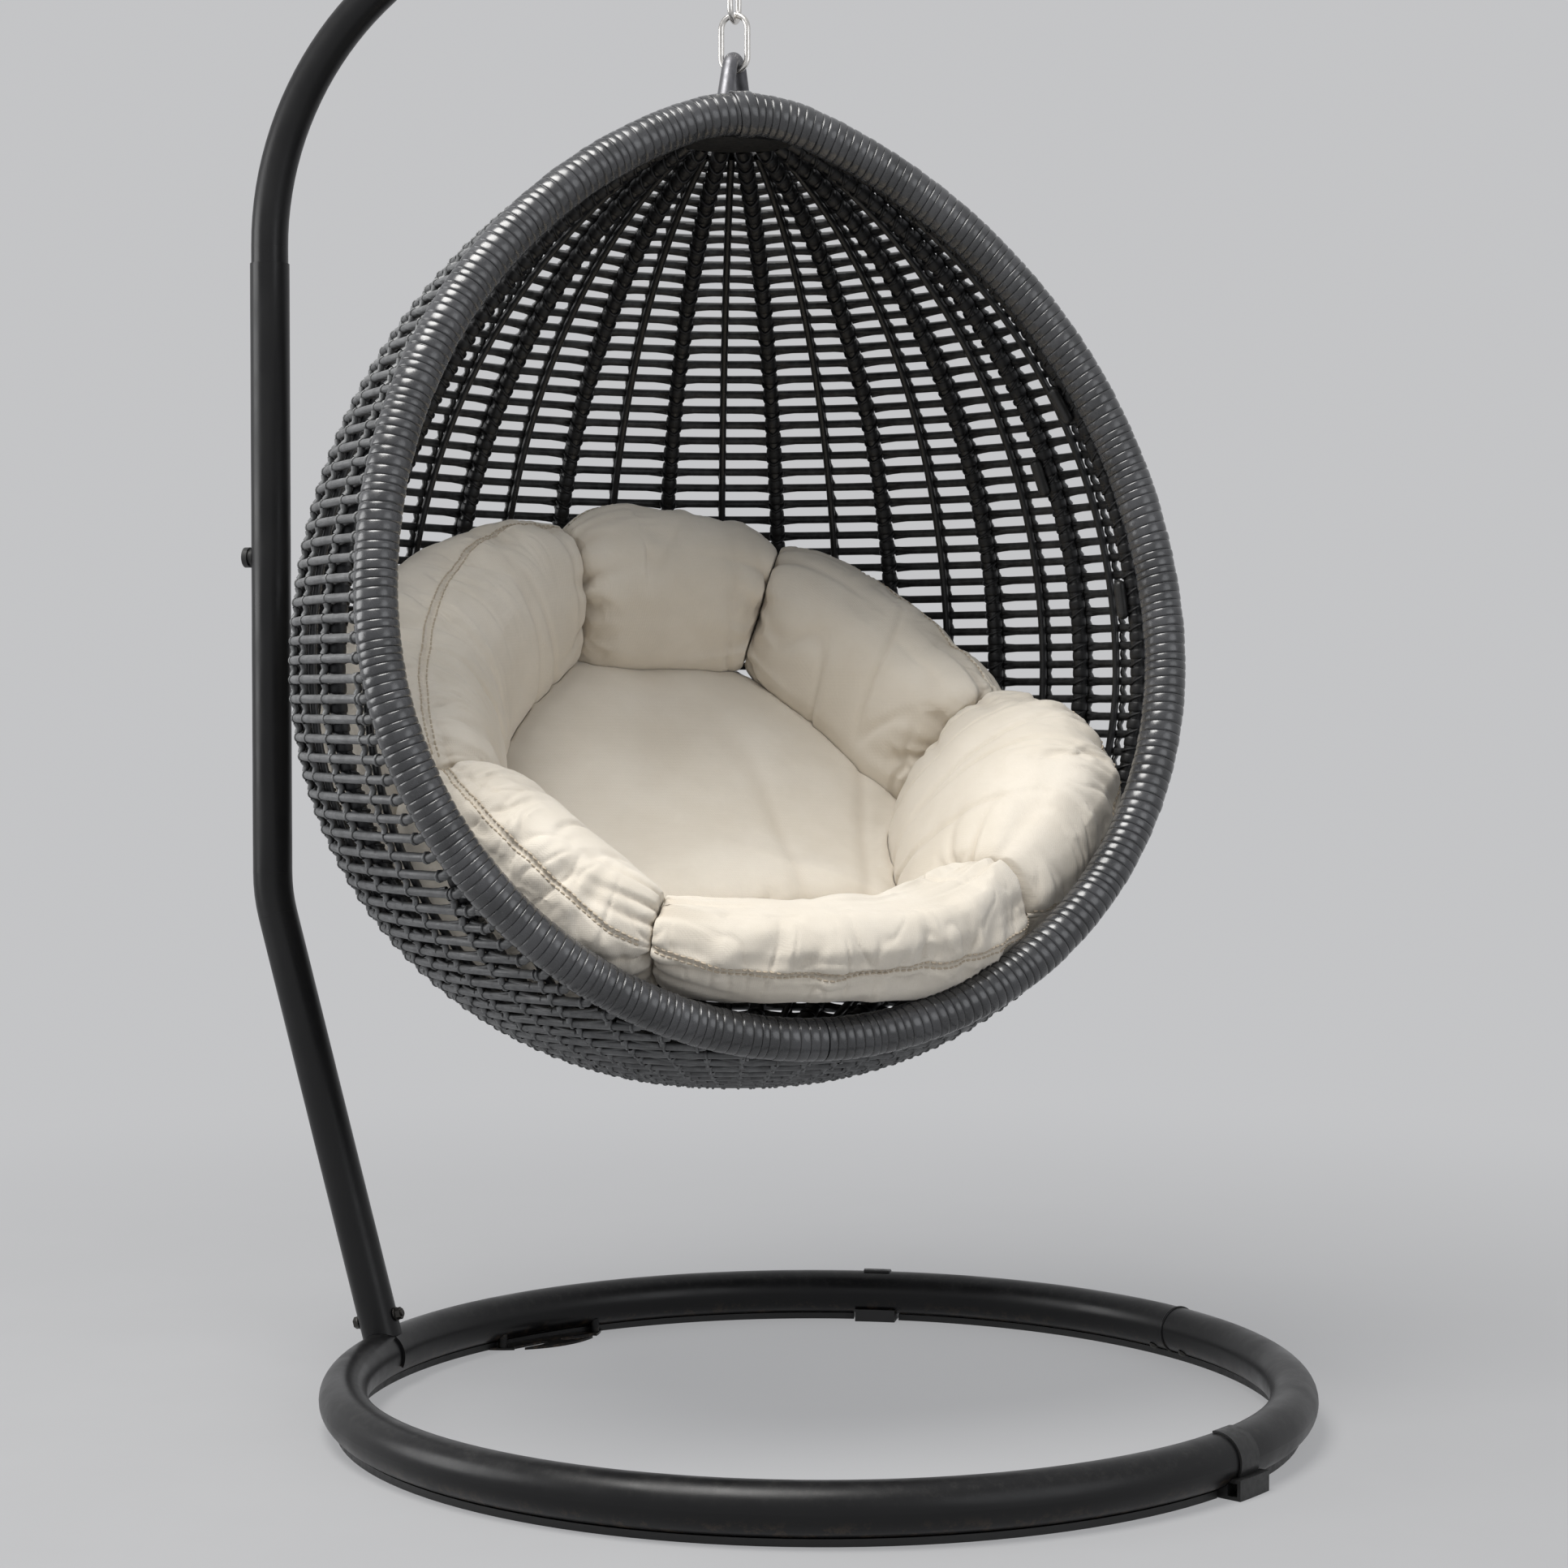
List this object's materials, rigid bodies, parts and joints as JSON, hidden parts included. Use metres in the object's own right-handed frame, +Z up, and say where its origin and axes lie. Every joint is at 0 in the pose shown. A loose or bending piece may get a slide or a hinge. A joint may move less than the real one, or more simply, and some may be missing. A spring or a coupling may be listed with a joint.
{
  "type": "hanging egg chair",
  "caption": "Woven egg-shaped swing seat with a nest cushion, hung by a short chain from a curved tube stand on a ring base.",
  "frame": {"origin": "on the floor, under the middle of the bounding box", "axes": "+Z up; the post stands on the -X side and its arm reaches towards +X; the basket hangs with its opening turned 52 degrees from +X towards -Y"},
  "size_m": [1.3169, 1.1558, 1.8753],
  "materials": {
    "frame_black": "satin powder coat",
    "inner_steel": "matt primer",
    "fasteners": "dull plated",
    "black_plastic": "matt moulded",
    "anchor_steel": "satin powder coat",
    "chain_steel": "bright plated",
    "swivel_steel": "bright plated",
    "bail_steel": "dull dark grey",
    "crown_steel": "matt black",
    "hub_wood": "stained cane, satin",
    "rim_wrap": "stained cane strip, glossy",
    "rib_cane": "stained cane, satin",
    "weaver_cane": "stained cane, glossy",
    "cushion_cloth": "cream cotton canvas"
  },
  "bodies": {
    "stand": {"base_ring": "frame_black", "ring_joint_sleeve": "inner_steel", "ring_joint_screws": "fasteners", "floor_strips": "black_plastic", "clip_feet": "black_plastic", "anchor_plate": "anchor_steel", "lower_post": "frame_black", "foot_bolt": "fasteners", "foot_nut": "fasteners", "upper_arm": "frame_black", "lock_knob": "black_plastic", "knob_collar": "black_plastic", "arm_end_cap": "black_plastic", "hanger_loop": "frame_black"},
    "top_link": {"top_link": "chain_steel"},
    "swivel_top": {"swivel_body": "swivel_steel"},
    "basket": {"swivel_eye": "swivel_steel", "link_upper": "chain_steel", "link_lower": "chain_steel", "bail": "bail_steel", "crown_plate": "crown_steel", "bottom_hub": "hub_wood", "rim_tube_left": "inner_steel", "rim_tube_right": "inner_steel", "rim_joint_sleeves": "inner_steel", "rim_wrap_left": "rim_wrap", "rim_wrap_right": "rim_wrap", "crown_binding": "rim_wrap", "ribs_left": "rib_cane", "ribs_right": "rib_cane", "stakes_left": "rib_cane", "stakes_right": "rib_cane", "weavers_crown": "weaver_cane", "weavers_upper": "weaver_cane", "weavers_middle": "weaver_cane", "weavers_lower": "weaver_cane", "tie_clips": "black_plastic", "cushion_head": "cushion_cloth", "cushion_upper_left": "cushion_cloth", "cushion_upper_right": "cushion_cloth", "cushion_lower_left": "cushion_cloth", "cushion_lower_right": "cushion_cloth", "cushion_front": "cushion_cloth", "cushion_back_pad": "cushion_cloth", "cushion_seat_pad": "cushion_cloth"}
  },
  "joints": [
    {"name": "swing_inline", "type": "hinge", "parent": "stand", "child": "top_link", "pos_m": [-0.0215, 0, 1.80139], "axis": [0, -1, 0], "range_deg": [-1.5, 15]},
    {"name": "swing_side", "type": "hinge", "parent": "top_link", "child": "swivel_top", "pos_m": [-0.0215, 0, 1.74519], "axis": [1, 0, 0], "range_deg": [-12, 12]},
    {"name": "swivel", "type": "hinge", "parent": "swivel_top", "child": "basket", "pos_m": [-0.0215, 0, 1.7], "axis": [0, 0, 1], "continuous": true}
  ]
}
